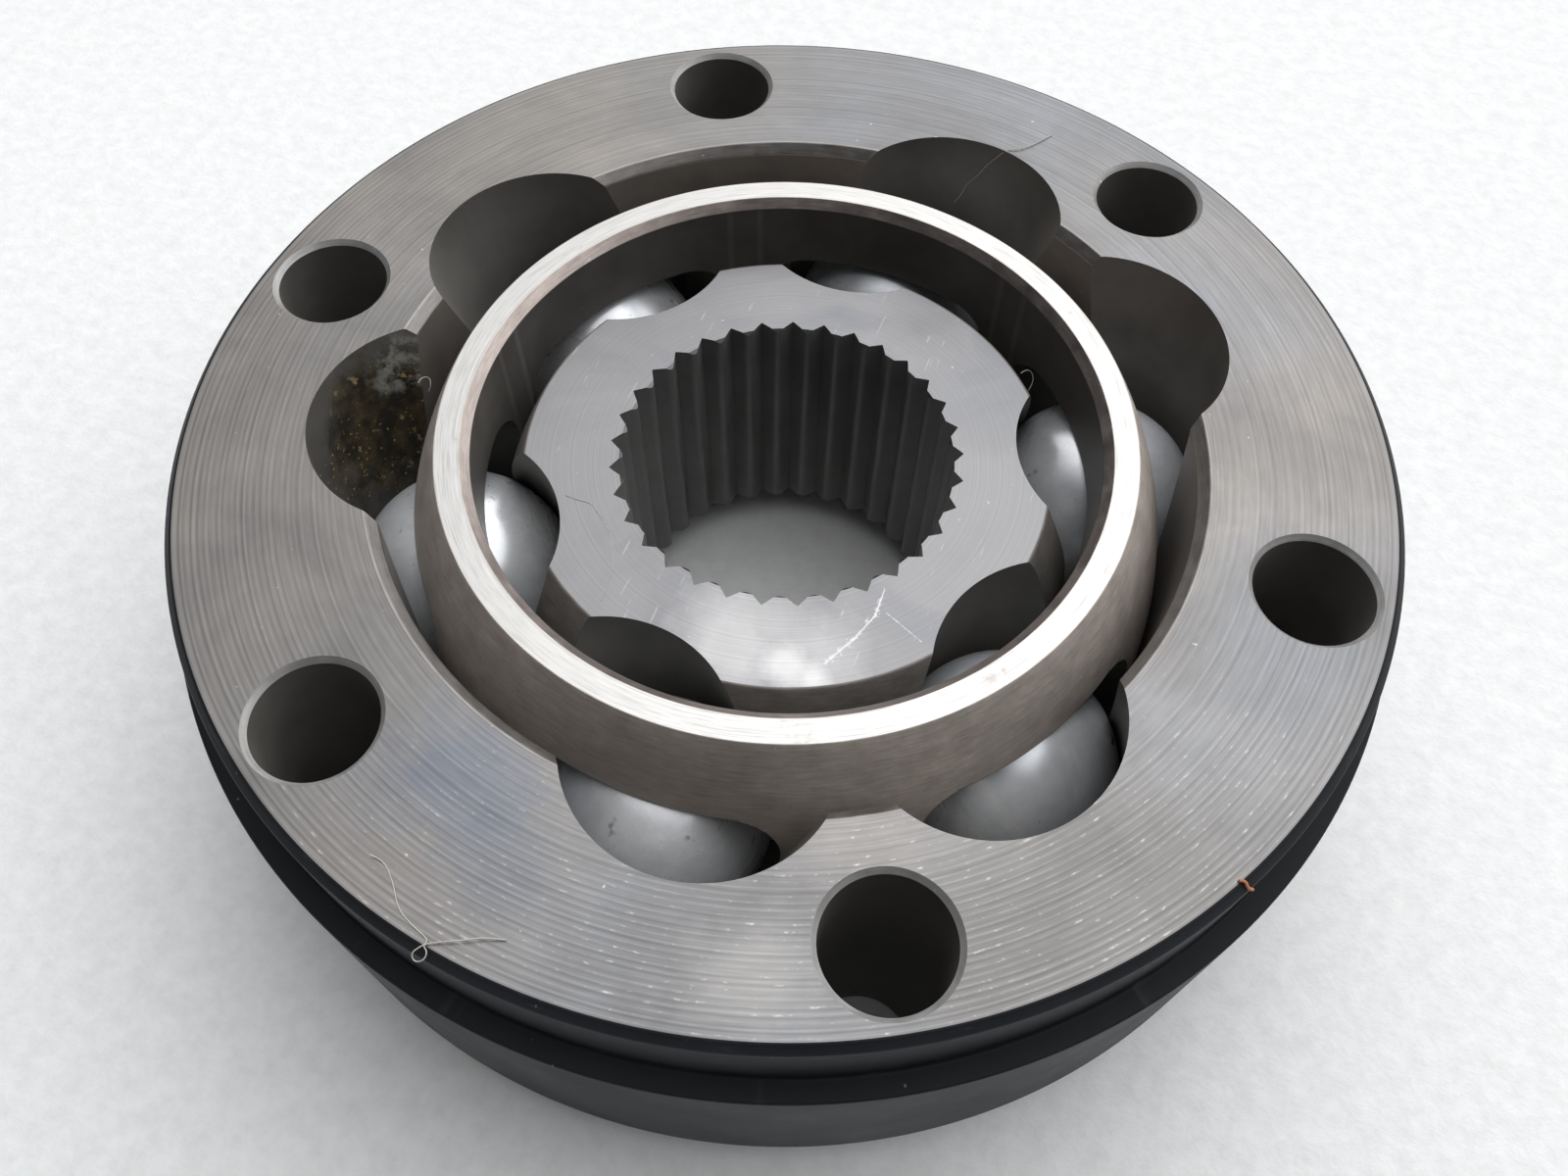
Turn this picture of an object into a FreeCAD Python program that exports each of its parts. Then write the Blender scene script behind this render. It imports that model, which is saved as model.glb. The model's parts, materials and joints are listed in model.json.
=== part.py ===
"""Cross-groove plunging constant-velocity joint: outer race, cage, inner race and six balls.

The frame is the joint's own: the origin is the centre of the mating face under the outer race,
+Z runs up the joint's axis and +X passes through a bolt hole.
The balls roll where two crossed tracks meet.
Each track is a straight cylinder that leans sideways, left or right by turns.
The inner race leans the other way, so each pair of tracks makes an X in the middle plane.
"""
import FreeCAD
import Part
import math
import os

Vector = FreeCAD.Vector

# ---- balls and tracks ----
ball_diameter = 21.0
pitch_radius = 31.8          # joint axis to ball centre
track_count = 6
track_skew = 16.0            # lean of a track against the joint axis, degrees
track_clearance = 0.15       # ball to track, on the radius

# ---- outer race ----
race_width = 37.0
body_diameter = 112.0        # raised middle band
seat_diameter = 108.2        # turned seats at both ends, for the flange and the boot cap
seat_length = 8.0
seat_root_radius = 0.6
band_edge = 0.3              # broken edge of the middle band
face_edge = 0.65             # chamfer where a seat meets a face
bore_edge = 0.9              # chamfer of the bore at both faces
bolt_circle = 94.0
bolt_diameter = 10.0
bolt_clearance = 0.2         # bolt in its hole, on the diameter
bolt_hole_edge = 0.45

# ---- cage ----
cage_over_pitch = 4.6        # from the pitch circle out to the cage's sphere
cage_clearance = 0.15        # cage to bore, on the radius
cage_inner_edge = 0.8
window_clearance = 0.25      # ball to window flat, each side
window_side_room = 2.1       # room for the ball's sideways travel, each side
window_corner_radius = 4.5

# ---- inner race ----
hub_width = 28.0
hub_under_pitch = 3.75       # from the pitch circle in to the inner race's sphere
hub_clearance = 0.25         # inner race to cage bore, on the radius
hub_face_edge = 0.3

# ---- spline in the inner race ----
spline_teeth = 33
spline_root_diameter = 32.8
spline_depth = 1.2           # root to tooth tip
spline_flank_depth = 0.95    # root to the end of the straight flank, where the crest begins
spline_notch_angle = 90.0    # opening angle of the space between two teeth
spline_end_edge = 0.3

# ---- what follows from these sizes ----
mid_plane = race_width / 2.0
ball_radius = ball_diameter / 2.0
track_radius = ball_radius + track_clearance
track_pitch = 360.0 / track_count
body_radius = body_diameter / 2.0
seat_radius = seat_diameter / 2.0
cage_radius = pitch_radius + cage_over_pitch
bore_radius = cage_radius + cage_clearance
hub_radius = pitch_radius - hub_under_pitch
cage_bore_radius = hub_radius + hub_clearance
cage_width = race_width
hub_bottom = mid_plane - hub_width / 2.0
hub_top = mid_plane + hub_width / 2.0
spline_root_radius = spline_root_diameter / 2.0
spline_tip_radius = spline_root_radius - spline_depth
bolt_hole_radius = (bolt_diameter + bolt_clearance) / 2.0
overrun = 2.0                # how far a cutting body runs past what it cuts


def polar(radius, angle, z=0.0):
    """Point at a radius and an angle in degrees about the joint axis."""
    turn = math.radians(angle)
    return Vector(radius * math.cos(turn), radius * math.sin(turn), z)


def revolved(points):
    """Solid of revolution about Z from (radius, z) corners."""
    corners = [Vector(r, 0, z) for r, z in points]
    face = Part.Face(Part.makePolygon(corners + corners[:1]))
    return face.revolve(Vector(0, 0, 0), Vector(0, 0, 1), 360)


def track_angle(index):
    """Ball positions lie half a pitch from the bolt holes."""
    return track_pitch * (index + 0.5)


def track_side(index):
    """Neighbouring tracks lean opposite ways."""
    return 1.0 if index % 2 == 0 else -1.0


def track_direction(index, race_sign):
    """Unit vector along a track; race_sign is +1 in the outer race and -1 in the inner race."""
    lean = race_sign * track_side(index) * math.tan(math.radians(track_skew))
    tangent = polar(1.0, track_angle(index) + 90.0)
    direction = Vector(0, 0, 1) + tangent * lean
    return direction.normalize()


def track_cutter(index, race_sign):
    """Cylinder that cuts one track through the whole width of the joint."""
    reach = race_width / 2.0 / math.cos(math.radians(track_skew)) + 2.0 * ball_radius
    direction = track_direction(index, race_sign)
    centre = polar(pitch_radius, track_angle(index), mid_plane)
    start = centre - direction * reach
    return Part.makeCylinder(track_radius, 2.0 * reach, start, direction)


def cut_tracks(solid, race_sign):
    for index in range(track_count):
        solid = solid.cut(track_cutter(index, race_sign))
    return solid


def outer_profile():
    """Half section of the outer race's outside, without the roots of the seats."""
    low = seat_length
    high = race_width - seat_length
    return [
        (bore_radius + bore_edge, 0.0),
        (seat_radius - face_edge, 0.0),
        (seat_radius, face_edge),
        (seat_radius, low),
        (body_radius - band_edge, low),
        (body_radius, low + band_edge),
        (body_radius, high - band_edge),
        (body_radius - band_edge, high),
        (seat_radius, high),
        (seat_radius, race_width - face_edge),
        (seat_radius - face_edge, race_width),
        (bore_radius + bore_edge, race_width),
        (bore_radius, race_width - bore_edge),
        (bore_radius, bore_edge),
    ]


def seat_root_edges(solid):
    """The two inside corners where a seat meets the band's shoulder."""
    found = []
    for edge in solid.Edges:
        if not isinstance(edge.Curve, Part.Circle):
            continue
        at_seat = abs(edge.Curve.Radius - seat_radius) < 1e-6
        height = edge.Curve.Center.z
        at_root = min(abs(height - seat_length), abs(height - race_width + seat_length)) < 1e-6
        if at_seat and at_root:
            found.append(edge)
    return found


def bolt_hole_cutter(angle):
    """Through hole with a broken edge at each face."""
    wide = bolt_hole_radius + bolt_hole_edge
    profile = [
        (0.0, -overrun),
        (wide + overrun, -overrun),
        (bolt_hole_radius, bolt_hole_edge),
        (bolt_hole_radius, race_width - bolt_hole_edge),
        (wide + overrun, race_width + overrun),
        (0.0, race_width + overrun),
    ]
    cutter = revolved(profile)
    cutter.translate(polar(bolt_circle / 2.0, angle))
    return cutter


def make_outer_race():
    race = revolved(outer_profile())
    race = race.makeFillet(seat_root_radius, seat_root_edges(race))
    for index in range(track_count):
        race = race.cut(bolt_hole_cutter(track_pitch * index))
    return cut_tracks(race, 1.0)


def ball_zone(radius, bottom, top):
    """Full sphere about the joint centre, cut flat at two heights."""
    centre = Vector(0, 0, mid_plane)
    sphere = Part.makeSphere(radius, centre)
    slab = Part.makeCylinder(2.0 * radius, top - bottom, Vector(0, 0, bottom))
    return sphere.common(slab)


def cage_bore_cutter():
    """Straight bore with a chamfer at both rims."""
    wide = cage_bore_radius + cage_inner_edge + overrun
    bottom = mid_plane - cage_width / 2.0
    top = mid_plane + cage_width / 2.0
    profile = [
        (0.0, bottom - overrun),
        (wide, bottom - overrun),
        (cage_bore_radius, bottom + cage_inner_edge),
        (cage_bore_radius, top - cage_inner_edge),
        (wide, top + overrun),
        (0.0, top + overrun),
    ]
    return revolved(profile)


def window_cutter(index):
    """Upright slot with round corners, cut straight outwards through the cage wall."""
    half_height = ball_radius + window_clearance
    half_width = ball_radius + window_side_room
    inside = cage_bore_radius / 2.0
    depth = cage_radius + overrun - inside
    block = Part.makeBox(depth, 2.0 * half_width, 2.0 * half_height)
    block.translate(Vector(inside, -half_width, mid_plane - half_height))
    along = [e for e in block.Edges if abs(e.tangentAt(e.FirstParameter).x) > 0.99]
    block = block.makeFillet(min(window_corner_radius, 0.9 * half_height), along)
    block.rotate(Vector(0, 0, 0), Vector(0, 0, 1), track_angle(index))
    return block


def make_cage():
    bottom = mid_plane - cage_width / 2.0
    cage = ball_zone(cage_radius, bottom, bottom + cage_width)
    cage = cage.cut(cage_bore_cutter())
    for index in range(track_count):
        cage = cage.cut(window_cutter(index))
    return cage


def spline_wire(z):
    """Closed outline of the splined bore: V spaces, and teeth with a low arched crest."""
    tooth_pitch = 360.0 / spline_teeth
    flank_radius = spline_root_radius - spline_flank_depth
    half_space = spline_flank_depth * math.tan(math.radians(spline_notch_angle / 2.0))
    flank_turn = math.degrees(half_space / flank_radius)
    edges = []
    for index in range(spline_teeth):
        turn = index * tooth_pitch
        root = polar(spline_root_radius, turn, z)
        rise = polar(flank_radius, turn + flank_turn, z)
        tip = polar(spline_tip_radius, turn + tooth_pitch / 2.0, z)
        fall = polar(flank_radius, turn + tooth_pitch - flank_turn, z)
        next_root = polar(spline_root_radius, turn + tooth_pitch, z)
        edges.append(Part.makeLine(root, rise))
        edges.append(Part.Arc(rise, tip, fall).toShape())
        edges.append(Part.makeLine(fall, next_root))
    return Part.Wire(edges)


def spline_cutter():
    start = hub_bottom - overrun
    face = Part.Face(spline_wire(start))
    return face.extrude(Vector(0, 0, hub_width + 2.0 * overrun))


def spline_lead_in():
    """Cone frustums that break the tooth ends at both faces."""
    narrow = spline_tip_radius
    wide = spline_tip_radius + spline_end_edge + overrun
    upper = [
        (0.0, hub_top - spline_end_edge),
        (narrow, hub_top - spline_end_edge),
        (wide, hub_top + overrun),
        (0.0, hub_top + overrun),
    ]
    lower = [
        (0.0, hub_bottom + spline_end_edge),
        (narrow, hub_bottom + spline_end_edge),
        (wide, hub_bottom - overrun),
        (0.0, hub_bottom - overrun),
    ]
    return [revolved(upper), revolved(lower)]


def hub_face_breaks(hub):
    """Bevel the rims where the inner race's sphere meets its two faces."""
    face_radius = math.sqrt(hub_radius ** 2 - (hub_width / 2.0) ** 2)
    slope = hub_face_edge + overrun
    for face_z, away in ((hub_top, 1.0), (hub_bottom, -1.0)):
        profile = [
            (face_radius - hub_face_edge - overrun, face_z + away * overrun),
            (face_radius + slope, face_z - away * slope),
            (face_radius + 2.0 * slope, face_z + away * overrun),
        ]
        hub = hub.cut(revolved(profile))
    return hub


def make_inner_race():
    hub = ball_zone(hub_radius, hub_bottom, hub_top)
    hub = hub.cut(spline_cutter())
    for cone in spline_lead_in():
        hub = hub.cut(cone)
    hub = hub_face_breaks(hub)
    return cut_tracks(hub, -1.0)


def make_ball(index):
    return Part.makeSphere(ball_radius, polar(pitch_radius, track_angle(index), mid_plane))


def build():
    pieces = {
        "outer_race": make_outer_race(),
        "cage": make_cage(),
        "inner_race": make_inner_race(),
    }
    for index in range(track_count):
        pieces["ball_%d" % (index + 1)] = make_ball(index)
    return pieces


def main():
    os.makedirs("parts", exist_ok=True)
    for name, shape in build().items():
        solid = shape.Solids[0]
        solid.exportStep("parts/" + name + ".step")


main()
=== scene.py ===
"""Looks of a crossed-track constant-velocity joint, laid out as a Blender add-on.

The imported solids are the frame: every piece made here takes its sizes from their boxes and
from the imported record, stands in the same place, and rides on the body of the same name.
"""
import json
import math

import bmesh
import bpy
from bpy.props import FloatProperty, FloatVectorProperty, IntProperty, PointerProperty
from bpy.types import Operator, Panel, PropertyGroup
from mathutils import Matrix, Vector


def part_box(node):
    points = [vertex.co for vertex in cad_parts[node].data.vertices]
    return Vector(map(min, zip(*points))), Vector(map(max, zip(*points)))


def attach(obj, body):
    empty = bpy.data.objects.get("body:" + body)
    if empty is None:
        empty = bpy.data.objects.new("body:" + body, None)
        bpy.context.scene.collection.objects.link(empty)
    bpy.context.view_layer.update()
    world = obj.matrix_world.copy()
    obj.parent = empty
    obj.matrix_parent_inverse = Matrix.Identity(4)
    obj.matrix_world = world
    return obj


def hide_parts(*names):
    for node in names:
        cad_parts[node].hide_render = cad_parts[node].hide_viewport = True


bl_info = {
    "name": "Crossed-track joint",
    "version": (1, 0, 0),
    "blender": (4, 5, 0),
    "location": "3D View > Sidebar > Joint",
    "description": "Builds a six-ball plunging joint of steel around its packed solids",
    "category": "Object",
}

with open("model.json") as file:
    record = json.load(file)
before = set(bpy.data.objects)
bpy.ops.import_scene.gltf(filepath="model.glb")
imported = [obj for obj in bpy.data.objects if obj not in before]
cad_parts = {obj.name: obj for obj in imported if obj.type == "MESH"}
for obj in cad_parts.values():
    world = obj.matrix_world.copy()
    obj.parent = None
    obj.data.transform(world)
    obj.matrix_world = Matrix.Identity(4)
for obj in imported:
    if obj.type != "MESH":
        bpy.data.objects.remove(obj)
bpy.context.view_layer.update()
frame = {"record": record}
RING_LOW, RING_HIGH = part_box("outer_race")
CAGE_LOW, CAGE_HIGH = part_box("cage")
HUB_LOW, HUB_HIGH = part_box("inner_race")
BALL_LOW, BALL_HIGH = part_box("ball_1")
BALL_CENTRE = (BALL_LOW + BALL_HIGH) / 2.0
MIDDLE = (RING_LOW.z + RING_HIGH.z) / 2.0
BALLS = 6
MOUNTS = {m["name"]: m for m in frame["record"]["mounts"]}
MM = 0.001

NOISE_SPAN = (0.3, 0.7)     # where nearly all values of a noise lie
TRACK_SIDES = 144           # sides of the round cutters
HOLE_SIDES = 96
LEAD_SIDES = 264
STEPS_PER_TOOTH = 18
BALL_GRID = 33              # points along each edge of the cube that a ball is made from
BELT_STEPS = 60             # of the cage's spherical outline
HUB_BELT_STEPS = 48
CORNER_STEPS = 3            # of a softened corner of a turned outline
CORNER_SHARE = 0.45         # the most of a side that a softened corner takes
GENTLE_BEND = math.radians(165.0)
ON_TOOL = 0.06 * MM         # a cut face lies within this of the cutter that made it
ON_END = 0.1 * MM           # an end face lies within this of the piece's full width
RING_SOFT = 0.35 * MM       # rounding of the corners of the turned outlines
CAGE_SOFT = 0.12 * MM
FEED = 0.52 * MM            # step and depth of the turning lines on the outer race's face
GROOVE = 0.012 * MM
LEVEL = 0.995               # upward share of a normal on an end face
SLOPED = 0.3                # and on a chamfer, at least
CRUMBS = 0.8e6              # crumbs on a square metre


def ball_way(k):
    """Way to a ball's place on the pitch circle, counted from 0."""
    return math.radians(30.0 + 360.0 / BALLS * k)


def size(name, what, default):
    """A length of the joint, in metres."""
    return FloatProperty(name=name, description=what, default=default, min=0.0, precision=5,
                         subtype="DISTANCE", unit="LENGTH")


def tint(name, what, default):
    """A linear colour."""
    return FloatVectorProperty(name=name, description=what, default=default, size=3,
                               min=0.0, max=1.0, subtype="COLOR")


class JointSizes(PropertyGroup):
    """Lengths and counts that the pieces are built from."""
    body_radius: size("Band radius", "Radius of the raised band", RING_HIGH.x)
    seat_radius: size("Seat radius", "Radius of both turned seats",
                      MOUNTS["flange_seat"]["dims"]["r_mm"] * MM)
    seat_length: size("Seat length", "Height of a seat", 8.0 * MM)
    face_edge: size("Face chamfer", "Chamfer between a face and a seat", 0.65 * MM)
    bore_edge: size("Bore chamfer", "Chamfer of the outer race's bore", 0.9 * MM)
    bore_gap: size("Cage clearance", "Cage to bore, on the radius", 0.15 * MM)
    bolt_circle: size("Bolt circle", "Radius of the circle of holes",
                      MOUNTS["flange_bolts"]["dims"]["pcd_mm"] / 2.0 * MM)
    bolt_radius: size("Bolt hole radius", "Radius of a bolt hole",
                      MOUNTS["flange_bolts"]["dims"]["hole_r_mm"] * MM)
    bolt_edge: size("Hole chamfer", "Broken edge of a bolt hole", 0.45 * MM)
    pitch_radius: size("Pitch radius", "Joint axis to ball centre", BALL_CENTRE.xy.length)
    ball_radius: size("Ball radius", "Radius of a ball", (BALL_HIGH.z - BALL_LOW.z) / 2.0)
    track_gap: size("Track clearance", "Ball to track, on the radius", 0.15 * MM)
    cage_radius: size("Cage radius", "Radius of the cage's sphere", CAGE_HIGH.x)
    cage_bore: size("Cage bore", "Radius of the cage's bore", HUB_HIGH.x + 0.25 * MM)
    cage_edge: size("Cage chamfer", "Chamfer at the cage's rims", 0.8 * MM)
    window_gap: size("Window clearance", "Ball to window flat", 0.25 * MM)
    window_room: size("Window side room", "Room beside a ball in its window", 2.1 * MM)
    window_corner: size("Window corner", "Corner radius of a window", 4.5 * MM)
    hub_radius: size("Hub radius", "Radius of the inner race's sphere", HUB_HIGH.x)
    hub_edge: size("Hub bevel", "Bevel around the inner race's faces", 0.3 * MM)
    spline_root: size("Spline root radius", "Radius at the bottom of the spaces", 16.4 * MM)
    spline_depth: size("Spline depth", "Root to tooth tip", 1.2 * MM)
    spline_flank: size("Flank depth", "Root to the end of a tooth's straight flank", 0.95 * MM)
    spline_lead: size("Lead-in", "Broken ends of the teeth", 0.3 * MM)
    lint_radius: size("Lint thickness", "Radius of a lint fibre", 0.05 * MM)
    crumb_size: size("Crumb size", "Largest radius of a dry crumb", 0.13 * MM)
    edge_round: size("Edge rounding", "Wear radius of the cut edges", 0.12 * MM)
    track_skew: FloatProperty(name="Track lean", description="Lean of a track against the axis",
                              default=math.radians(16.0), subtype="ANGLE", unit="ROTATION")
    spline_teeth: IntProperty(name="Spline teeth", description="Teeth in the bore", default=33)
    around: IntProperty(name="Steps around", description="Steps of a turned surface", default=288)


class JointFinishes(PropertyGroup):
    """Colours of the steels and of the dirt on them."""
    turned: tint("Turned steel", "Faces of the outer race", (0.222, 0.218, 0.216))
    chamfer: tint("Chamfer steel", "Broken edge of the bore", (0.25, 0.238, 0.228))
    hole_edge: tint("Hole edge steel", "Broken edges of the bolt holes", (0.40, 0.395, 0.39))
    oiled: tint("Oiled steel", "Sides of the outer race", (0.016, 0.017, 0.020))
    bore: tint("Bore steel", "Bores of the outer race and the cage", (0.130, 0.121, 0.112))
    track: tint("Track steel", "Hardened ball tracks", (0.130, 0.124, 0.115))
    ground: tint("Ground steel", "Sphere of the cage", (0.50, 0.445, 0.402))
    rim: tint("Rim steel", "Bright flat rims of the cage", (0.50, 0.495, 0.485))
    rim_edge: tint("Rim chamfer", "Chamfer inside the cage's rims", (0.42, 0.365, 0.34))
    hub: tint("Hub steel", "Faces of the inner race", (0.222, 0.220, 0.226))
    land: tint("Land steel", "Sphere of the inner race", (0.20, 0.185, 0.17))
    spline: tint("Spline steel", "Teeth in the bore", (0.150, 0.147, 0.143))
    ball: tint("Ball steel", "Polished balls", (0.89, 0.91, 0.94))
    grime: tint("Grime", "Dried grease in a track", (0.36, 0.27, 0.13))
    lint: tint("Lint", "Loose fibres on the faces", (0.55, 0.53, 0.48))
    fleck: tint("Rust fleck", "One orange fleck at the rim", (0.50, 0.20, 0.10))


class StageSettings(PropertyGroup):
    """Floor, lamps and lens."""
    floor: tint("Floor", "Colour of the pale floor", (0.93, 0.94, 0.945))
    sky: tint("Dome", "Colour of the soft dome overhead", (1.0, 1.0, 1.0))
    air: tint("Surroundings", "Colour of the room low down and in front", (0.055, 0.056, 0.060))
    dome: FloatProperty(name="Dome level", description="Strength of the soft dome overhead",
                        default=1.85, min=0.0)
    lens: FloatProperty(name="Lens", description="Focal length", default=29.2, unit="CAMERA")
    key_power: FloatProperty(name="Key power", description="Soft lamp high up behind",
                             default=0.6, subtype="POWER", unit="POWER")
    key_width: size("Key width", "Side of the soft lamp high up behind", 0.40)


# ---------------------------------------------------------------- node helpers

class Nodes:
    """Adds and links nodes with one short call each."""

    def __init__(self, tree):
        self.tree = tree

    def add(self, kind, inputs=None, **settings):
        """A new node: its settings first, then its inputs by name or index."""
        node = self.tree.nodes.new(kind)
        for key, value in settings.items():
            setattr(node, key, value)
        for key, value in (inputs or {}).items():
            self.feed(node.inputs[key], value)
        return node

    def feed(self, socket, value):
        """Links a node or an output, or sets a constant."""
        if isinstance(value, bpy.types.Node):
            value = next(s for s in value.outputs if s.enabled)
        if isinstance(value, bpy.types.NodeSocket):
            self.tree.links.new(value, socket)
        elif socket.type == "RGBA":
            socket.default_value = (*value, 1.0)[:4]
        else:
            socket.default_value = value

    def math(self, operation, *values):
        node = self.add("ShaderNodeMath", operation=operation)
        for socket, value in zip(node.inputs, values):
            self.feed(socket, value)
        return node.outputs[0]

    def mul(self, first, second):
        return self.math("MULTIPLY", first, second)

    def sum(self, first, second):
        return self.math("ADD", first, second)

    def minus(self, first, second):
        return self.math("SUBTRACT", first, second)

    def vector(self, operation, *values):
        node = self.add("ShaderNodeVectorMath", operation=operation)
        for socket, value in zip([i for i in node.inputs if i.enabled], values):
            self.feed(socket, value)
        return next(o for o in node.outputs if o.enabled)

    def xyz(self, x=0.0, y=0.0, z=0.0):
        """A vector from numbers or sockets."""
        return self.add("ShaderNodeCombineXYZ", {"X": x, "Y": y, "Z": z})

    def split(self, vector):
        return self.add("ShaderNodeSeparateXYZ", {0: vector}).outputs

    def band(self, value, low, high, to_low=0.0, to_high=1.0, **settings):
        """Carries the span from low to high onto another span, and holds it at both ends."""
        return self.add("ShaderNodeMapRange", {
            "Value": value, "From Min": low, "From Max": high,
            "To Min": to_low, "To Max": to_high}, **settings).outputs["Result"]

    def mix(self, factor, first, second, blend="MIX"):
        node = self.add("ShaderNodeMix", data_type="RGBA", blend_type=blend)
        for index, value in ((0, factor), (6, first), (7, second)):
            self.feed(node.inputs[index], value)
        return node.outputs[2]


class Shader(Nodes):
    """A procedural finish on Object coordinates."""

    def __init__(self, name, base):
        self.material = bpy.data.materials.new(name)
        self.material.use_nodes = True
        self.material.diffuse_color = (*base, 1.0)
        super().__init__(self.material.node_tree)
        self.tree.nodes.clear()
        self.bsdf = self.add("ShaderNodeBsdfPrincipled")
        self.add("ShaderNodeOutputMaterial", {"Surface": self.bsdf})
        self.place = self.add("ShaderNodeTexCoord").outputs["Object"]

    def flat(self):
        return self.vector("MULTIPLY", self.place, (1.0, 1.0, 0.0))

    def radius(self):
        return self.vector("LENGTH", self.flat())

    def height(self):
        return self.split(self.place)["Z"]

    def noise(self, scale, detail=3.0, roughness=0.55, vector=None, distortion=0.0):
        return self.add("ShaderNodeTexNoise", {
            "Vector": vector or self.place, "Scale": scale, "Detail": detail,
            "Roughness": roughness, "Distortion": distortion}).outputs["Fac"]

    def lines(self, level, scale, detail=2.0):
        """Unbroken turning lines: noise of a radius or a height alone."""
        return self.add("ShaderNodeTexNoise", {"W": level, "Scale": scale, "Detail": detail},
                        noise_dimensions="1D").outputs["Fac"]

    def marks(self, level, across, along, detail, roughness):
        """Marks drawn out the way round, as narrow as a step of the level; they have no seam."""
        way = self.vector("SCALE", self.vector("NORMALIZE", self.flat()), along)
        step = self.xyz(z=self.math("DIVIDE", level, across))
        return self.noise(1.0, detail, roughness, vector=self.vector("ADD", way, step))

    def swing(self, noise, low, high):
        """The middle of a noise, spread from low to high."""
        return self.band(noise, *NOISE_SPAN, low, high)

    def bump(self, height, distance, normal=None):
        inputs = {"Height": height, "Distance": distance}
        if normal is not None:
            inputs["Normal"] = normal
        return self.add("ShaderNodeBump", inputs).outputs["Normal"]

    def laid(self, colour, tone, pattern, low, high, share=1.0):
        """Lays a tone over a colour, by a share at most, where a pattern rises past low."""
        return self.mix(self.band(pattern, low, high, 0.0, share), colour, tone)

    def scaled(self, colour, factor):
        """A colour made lighter or darker by a pattern."""
        return self.mix(1.0, colour, self.xyz(factor, factor, factor), blend="MULTIPLY")

    def blot(self, place, reach, edge=1.2):
        """Soft-edged patch of uneven outline: one at its place, fading out at its reach."""
        away = self.vector("DISTANCE", self.place, tuple(c * MM for c in place))
        ragged = self.swing(self.noise(150.0, 5.0, 0.65), -0.4, 0.4)
        far = self.sum(self.math("DIVIDE", away, reach * MM), ragged)
        return self.band(far, 1.0 + edge / 2.0, 1.0 - edge / 2.0)

    def stains_and_painted_light(self, colour, top, tone_patches):
        """Lays a face's patches over its colour, stains and painted light and shade alike: place,
        reach and tone of each.
        """
        for x, y, reach, tone in tone_patches:
            colour = self.mix(self.blot((x, y, top), reach), colour, tone)
        return colour

    def score(self, start, end, width):
        """Ragged scratch from one place to another: one on its line, fading out beside it."""
        first = Vector(start) * MM
        along = Vector(end) * MM - first
        here = self.vector("SUBTRACT", self.place, tuple(first))
        share = self.vector("DOT_PRODUCT", here, tuple(along / along.length_squared))
        near = self.vector("SCALE", tuple(along), self.band(share, 0.0, 1.0))
        away = self.vector("DISTANCE", here, near)
        ragged = self.band(self.noise(2600.0, 4.0, 0.75), 0.38, 0.62, 0.35, 3.2)
        return self.band(self.mul(away, ragged), width * MM, 0.3 * width * MM)

    def brushed(self, amount):
        """Draws the highlights out across the turning lines."""
        self.feed(self.bsdf.inputs["Anisotropic"], amount)
        self.feed(self.bsdf.inputs["Tangent"],
                  self.add("ShaderNodeTangent", direction_type="RADIAL", axis="Z"))

    def finish(self, colour, rough, normal, metal=1.0):
        """Feeds the surface and gives its material."""
        for key, value in (("Base Color", colour), ("Roughness", rough), ("Normal", normal),
                           ("Metallic", metal)):
            self.feed(self.bsdf.inputs[key], value)
        return self.material


def times(colour, *factors):
    """A colour made lighter or darker, by one factor or by one for each channel."""
    return tuple(min(1.0, c * k) for c, k in zip(colour, factors * 3))


# ---------------------------------------------------------------- finishes

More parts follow.
